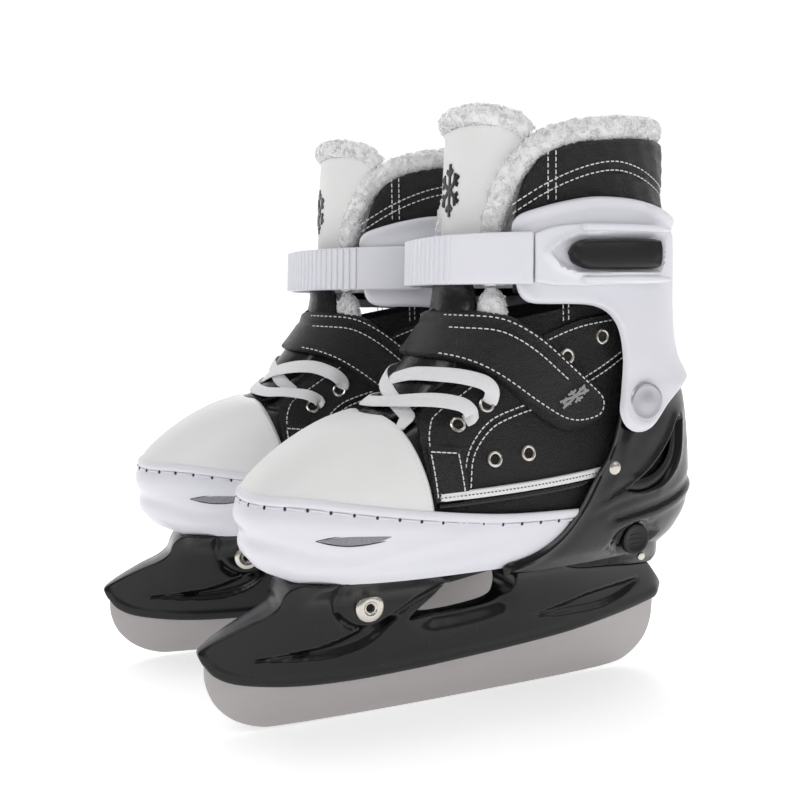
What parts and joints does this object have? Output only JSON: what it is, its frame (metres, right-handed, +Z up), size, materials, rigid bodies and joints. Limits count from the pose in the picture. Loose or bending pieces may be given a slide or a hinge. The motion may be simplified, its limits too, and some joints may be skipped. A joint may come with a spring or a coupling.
{
  "type": "ice skates",
  "caption": "Pair of size-adjustable ice skates: lace-up boot with touch strap and fur lining in a hinged cuff with ratchet buckle, on a steel blade in a plastic holder.",
  "frame": {"origin": "middle of the pair's footprint, on the ice under the blades", "axes": "+Z up, toes towards -Y, the left skate on the +X side"},
  "size_m": [0.2234, 0.303, 0.2994],
  "materials": {
    "blade_steel": "ground satin steel",
    "nickel": "nickel plated",
    "black_plastic": "moulded gloss black",
    "white_plastic": "moulded white, soft gloss",
    "grey_plastic": "fine textured grey",
    "silver_cap": "satin silver",
    "black_leather": "coated leather, fine grain",
    "white_leather": "coated leather, smooth",
    "white_lace": "flat woven lace",
    "white_fur": "short curly pile",
    "footbed_foam": "cloth-faced foam"
  },
  "bodies": {
    "chassis": {"blade_l": "blade_steel", "blade_holder_l": "black_plastic", "blade_bolt_l": "nickel", "blade_nut_l": "nickel", "toe_shell_l": "white_plastic", "toe_cap_l": "white_leather", "toe_insert_outer_l": "grey_plastic", "toe_insert_inner_l": "grey_plastic", "size_rail_l": "black_plastic", "blade_r": "blade_steel", "blade_holder_r": "black_plastic", "blade_bolt_r": "nickel", "blade_nut_r": "nickel", "toe_shell_r": "white_plastic", "toe_cap_r": "white_leather", "toe_insert_outer_r": "grey_plastic", "toe_insert_inner_r": "grey_plastic", "size_rail_r": "black_plastic"},
    "heel_l": {"heel_shell_l": "black_plastic", "boot_upper_l": "black_leather", "footbed_l": "footbed_foam", "touch_strap_l": "black_leather", "laces_l": "white_lace", "heel_rivet_outer_l": "nickel", "heel_rivet_inner_l": "nickel", "pivot_rivet_outer_l": "silver_cap", "pivot_rivet_inner_l": "silver_cap"},
    "button_l": {"size_button_l": "black_plastic", "lock_pin_l": "blade_steel"},
    "cuff_l": {"cuff_l": "white_plastic", "collar_l": "black_leather", "fur_lining_l": "white_fur", "tongue_l": "white_leather", "buckle_base_l": "white_plastic", "lever_pin_l": "blade_steel"},
    "lever_l": {"buckle_lever_l": "black_plastic"},
    "strap_l": {"ratchet_strap_l": "white_plastic", "strap_rivet_l": "nickel"},
    "heel_r": {"heel_shell_r": "black_plastic", "boot_upper_r": "black_leather", "footbed_r": "footbed_foam", "touch_strap_r": "black_leather", "laces_r": "white_lace", "heel_rivet_outer_r": "nickel", "heel_rivet_inner_r": "nickel", "pivot_rivet_outer_r": "silver_cap", "pivot_rivet_inner_r": "silver_cap"},
    "button_r": {"size_button_r": "black_plastic", "lock_pin_r": "blade_steel"},
    "cuff_r": {"cuff_r": "white_plastic", "collar_r": "black_leather", "fur_lining_r": "white_fur", "tongue_r": "white_leather", "buckle_base_r": "white_plastic", "lever_pin_r": "blade_steel"},
    "lever_r": {"buckle_lever_r": "black_plastic"},
    "strap_r": {"ratchet_strap_r": "white_plastic", "strap_rivet_r": "nickel"}
  },
  "joints": [
    {"name": "size_slide_l", "type": "slide", "parent": "chassis", "child": "heel_l", "axis": [0, 1, 0], "range_m": [0, 0.02]},
    {"name": "size_button_l", "type": "slide", "parent": "heel_l", "child": "button_l", "axis": [-1, 0, 0], "range_m": [0, 0.0025], "stiffness_N_per_m": 300, "springref_m": -0.001},
    {"name": "cuff_flex_l", "type": "hinge", "parent": "heel_l", "child": "cuff_l", "pos_m": [0.05547, 0.09957, 0.154], "axis": [1, 0, 0], "range_deg": [-4, 8]},
    {"name": "buckle_lever_l", "type": "hinge", "parent": "cuff_l", "child": "lever_l", "pos_m": [0.10764, 0.10157, 0.227], "axis": [0, 0, 1], "range_deg": [0, 95]},
    {"name": "strap_swing_l", "type": "hinge", "parent": "cuff_l", "child": "strap_l", "pos_m": [0.00649, 0.07257, 0.2255], "axis": [0, 0, -1], "range_deg": [0, 9]},
    {"name": "size_slide_r", "type": "slide", "parent": "chassis", "child": "heel_r", "axis": [0.1045, 0.9945, 0], "range_m": [0, 0.02]},
    {"name": "size_button_r", "type": "slide", "parent": "heel_r", "child": "button_r", "axis": [0.9945, -0.1045, 0], "range_m": [0, 0.0025], "stiffness_N_per_m": 300, "springref_m": -0.001},
    {"name": "cuff_flex_r", "type": "hinge", "parent": "heel_r", "child": "cuff_r", "pos_m": [-0.05044, 0.06813, 0.154], "axis": [0.9945, -0.1045, 0], "range_deg": [-4, 8]},
    {"name": "buckle_lever_r", "type": "hinge", "parent": "cuff_r", "child": "lever_r", "pos_m": [-0.10212, 0.07557, 0.227], "axis": [0, 0, -1], "range_deg": [0, 95]},
    {"name": "strap_swing_r", "type": "hinge", "parent": "cuff_r", "child": "strap_r", "pos_m": [-0.00455, 0.03616, 0.2255], "axis": [0, 0, 1], "range_deg": [0, 9]}
  ]
}
